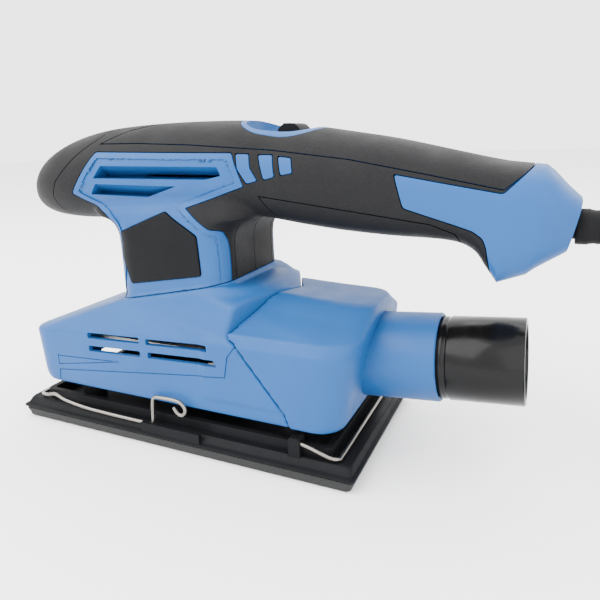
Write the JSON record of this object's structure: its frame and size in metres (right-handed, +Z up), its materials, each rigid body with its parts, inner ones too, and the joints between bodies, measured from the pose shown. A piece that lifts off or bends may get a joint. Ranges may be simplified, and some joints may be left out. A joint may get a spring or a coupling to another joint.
{
  "type": "third-sheet orbital sander",
  "caption": "Corded hand sander: blue housing with soft black grip and nose, flat rectangular pad with wire paper clamps, slide switch, and a round dust outlet with a black adapter.",
  "frame": {"origin": "middle of the flat sanding face under the sole", "axes": "+Z up out of the pad, +X from the nose towards the dust outlet and the cord, +Y the tool's right side"},
  "size_m": [0.4047, 0.1501, 0.1526],
  "materials": {
    "blue_plastic": "moulded, fine matt texture",
    "soft_grip": "soft-touch overmould, leather-grain texture",
    "dark_plastic": "moulded, satin",
    "gloss_plastic": "polished",
    "foam_sole": "closed-cell foam",
    "rubber": "matt",
    "cord_jacket": "extruded jacket, satin",
    "switch_plastic": "moulded",
    "wire_steel": "drawn spring wire, satin",
    "bearing_steel": "ground",
    "screw_steel": "plated",
    "alloy": "die cast",
    "lamination": "stacked laminations",
    "copper": "enamelled copper wire and copper bars",
    "brass": "pressed sheet",
    "carbon": "pressed carbon"
  },
  "bodies": {
    "housing": {"left_housing": "blue_plastic", "left_grip": "soft_grip", "left_badge": "dark_plastic", "left_brush_holder": "brass", "left_carbon_brush": "carbon", "left_field_coil": "copper", "right_housing": "blue_plastic", "right_grip": "soft_grip", "right_badge": "dark_plastic", "right_brush_holder": "brass", "right_carbon_brush": "carbon", "right_field_coil": "copper", "saddle_grip": "soft_grip", "nose_grip": "soft_grip", "under_grip": "soft_grip", "base_housing": "blue_plastic", "rear_duct_cover": "blue_plastic", "rubber_post_1": "rubber", "rubber_post_2": "rubber", "rubber_post_3": "rubber", "rubber_post_4": "rubber", "stator_core": "lamination", "lower_bearing_outer": "bearing_steel", "upper_bearing_outer": "bearing_steel", "upper_bearing_cup": "rubber", "bearing_bracket": "alloy", "bracket_screw_1": "screw_steel", "bracket_screw_2": "screw_steel", "bracket_screw_3": "screw_steel", "housing_screw_1": "screw_steel", "housing_screw_2": "screw_steel", "housing_screw_3": "screw_steel", "housing_screw_4": "screw_steel", "switch_bezel": "blue_plastic", "switch_body": "switch_plastic", "terminal_block": "switch_plastic", "cord_clamp": "dark_plastic", "strain_relief": "rubber", "cord_tube": "cord_jacket", "cord_coil": "cord_jacket", "cord_tail": "cord_jacket", "cord_tie": "dark_plastic", "plug": "cord_jacket"},
    "rotor": {"armature_shaft": "bearing_steel", "counterweight": "alloy", "cooling_fan": "dark_plastic", "armature_core": "lamination", "armature_winding": "copper", "commutator": "copper", "lower_bearing_inner": "bearing_steel", "upper_bearing_inner": "bearing_steel", "pad_bearing_inner": "bearing_steel"},
    "pad": {"platen": "dark_plastic", "sole_pad": "foam_sole", "pad_bearing_outer": "bearing_steel", "bearing_retainer": "bearing_steel"},
    "front_clamp": {"front_clamp": "wire_steel"},
    "rear_clamp": {"rear_clamp": "wire_steel"},
    "slider": {"switch_slider": "dark_plastic"},
    "adapter": {"dust_adapter": "gloss_plastic"}
  },
  "joints": [
    {"name": "rotor_spin", "type": "hinge", "parent": "housing", "child": "rotor", "pos_m": [-0.001, 0, 0.08], "axis": [0, 0, 1], "continuous": true},
    {"name": "pad_orbit", "type": "hinge", "parent": "rotor", "child": "pad", "pos_m": [0, 0, 0.016], "axis": [0, 0, 1], "continuous": true},
    {"name": "front_clamp_lift", "type": "hinge", "parent": "pad", "child": "front_clamp", "pos_m": [-0.012, -0.0452, 0.0111], "axis": [-0.5384, 0.8411, 0.0527], "range_deg": [0, 8], "stiffness_Nm_per_rad": 0.05},
    {"name": "rear_clamp_lift", "type": "hinge", "parent": "pad", "child": "rear_clamp", "pos_m": [0.012, 0.0452, 0.0111], "axis": [0.5384, -0.8411, 0.0527], "range_deg": [0, 8], "stiffness_Nm_per_rad": 0.05},
    {"name": "switch_slide", "type": "slide", "parent": "housing", "child": "slider", "axis": [-1, 0, 0], "range_m": [0, 0.008]},
    {"name": "adapter_pull", "type": "slide", "parent": "housing", "child": "adapter", "axis": [0.9968, 0, 0.0793], "range_m": [0, 0.025]}
  ],
  "couplings": [
    {"joint": "pad_orbit", "follows": "rotor_spin", "ratio": -1}
  ]
}
